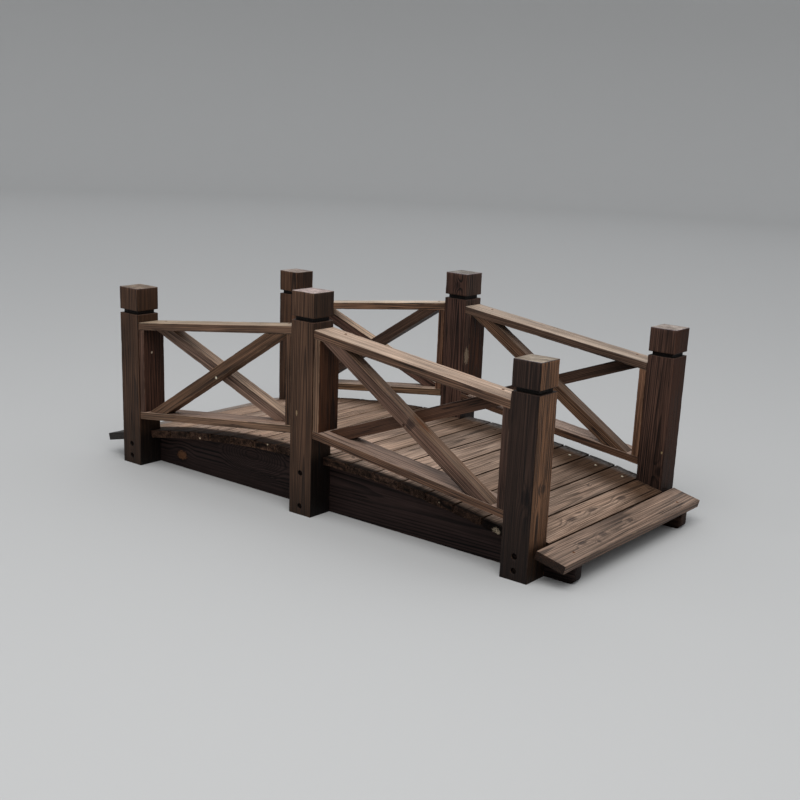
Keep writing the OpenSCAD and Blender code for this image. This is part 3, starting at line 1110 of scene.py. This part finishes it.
def fasten(name, metal, form, placings):
    """One piece with a copy of the form at each placing."""
    whole = bmesh.new()
    for placing in placings:
        copy = form.copy()
        copy.transform(placing)
        whole.from_mesh(copy)
        bpy.data.meshes.remove(copy)
    mesh = bpy.data.meshes.new(name)
    whole.to_mesh(mesh)
    whole.free()
    mesh.shade_smooth()
    mesh.set_sharp_from_angle(angle=math.radians(35))
    mesh.materials.append(metal)
    piece = show(name, mesh)
    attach(piece, "root")
    print(name, "set:", len(placings))


def outward(place, direction):
    """Placing that points the Z axis of a turned thing along the direction."""
    return Matrix.Translation(place) @ Vector(direction).to_track_quat("Z", "X").to_matrix().to_4x4()


for side, out in (("front", -1), ("back", 1)):
    inner_face, post_face = sorted(abs(corner[1]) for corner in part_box(side + "_beam"))
    seat = post_face + post_width - counterbore_depth
    bolt = turned("bolt", bolt_profile(seat - inner_face), 36)
    for place, high in high_bolt.items():
        low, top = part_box(f"{side}_{place}_post")
        x = (low[0] + top[0]) / 2
        placings = [outward((x, out * seat, z), (0, out, 0)) for z in (low_bolt, high)]
        fasten(f"{side}_{place}_bolts", bolt_steel, bolt, placings)
    print(side, "bolts grip", round((seat - inner_face) / mm, 1), "mm")


# %% [markdown]
# Screws
#
# Screws hold the boards and the top rails, one at each end, and one pins each front pair of
# braces. Only the heads show, so only they are made: a domed disc with a cross slot, a slope
# below it and a short stub. Most have gone brown with dirt or stain, but a few at the back
# of the last boards and one in the braces are still bright.

# %% Screws
def cross_slot(angle):
    """Radius of a slot with four arms."""
    return (0.7 + 1.6 * abs(math.cos(2 * angle)) ** 6) * mm


screw_profile = [
    (0, -0.6 * mm), (0.5 * mm, -0.5 * mm), (cross_slot, 1.1 * mm), (3.2 * mm, 0.9 * mm), (4.5 * mm, 0.2 * mm),
    (4.5 * mm, -0.3 * mm), (2.2 * mm, -2.5 * mm), (2 * mm, -6 * mm), (0, -6 * mm)]
screw = turned("screw", screw_profile, 48)
sunk = 0.15 * mm


def screw_in(timber, along, aside, axis=2, side=1):
    """Placing of a screw head that is flush with a face: axis 1 for an edge, 2 for a wide face."""
    place = [along, aside, aside]
    place[axis] = side * (timber.half[axis] - sunk)
    return outward(timber.world(place), side * timber.axes[axis])


def timbers(part):
    return [timber for name, timber in dressed.items() if part in name]


def both_ends(part, reach, aside):
    return [screw_in(timber, end * reach, aside) for timber in timbers(part) for end in (-1, 1)]


# %% [markdown]
# Driving the screws
#
# Each screw is placed in the grain frame of its piece, so one in a raked rail stands square
# to the rail.

# %% Set the screws
rail_screw_reach, rail_screw_aside = 287 * mm, 18 * mm
brace_screw_along, brace_screw_aside = 9 * mm, -12 * mm

boards = timbers("deck_board")
swept = [dressed[f"deck_board_{number}_timber"] for number in (14, 15, 16)]
crossed = timbers("front_left_inward") + timbers("front_right_inward")

dirty = [screw_in(board, -screw_reach, screw_aside) for board in boards]
dirty += [screw_in(board, screw_reach, screw_aside) for board in boards if board not in swept]
bright = [screw_in(board, screw_reach, screw_aside) for board in swept]
pinned = [screw_in(brace, brace_screw_along, brace_screw_aside, axis=1, side=-1) for brace in crossed]
fasten("deck_screws", dull_zinc, screw, dirty)
fasten("swept_deck_screws", clean_zinc, screw, bright)
fasten("end_board_screws", stained_zinc, screw, both_ends("end_board", screw_reach, screw_aside))
fasten("rail_screws", stained_zinc, screw, both_ends("top_rail", rail_screw_reach, rail_screw_aside))
fasten("left_brace_screw", clean_zinc, screw, pinned[:1])
fasten("right_brace_screw", dull_zinc, screw, pinned[1:])
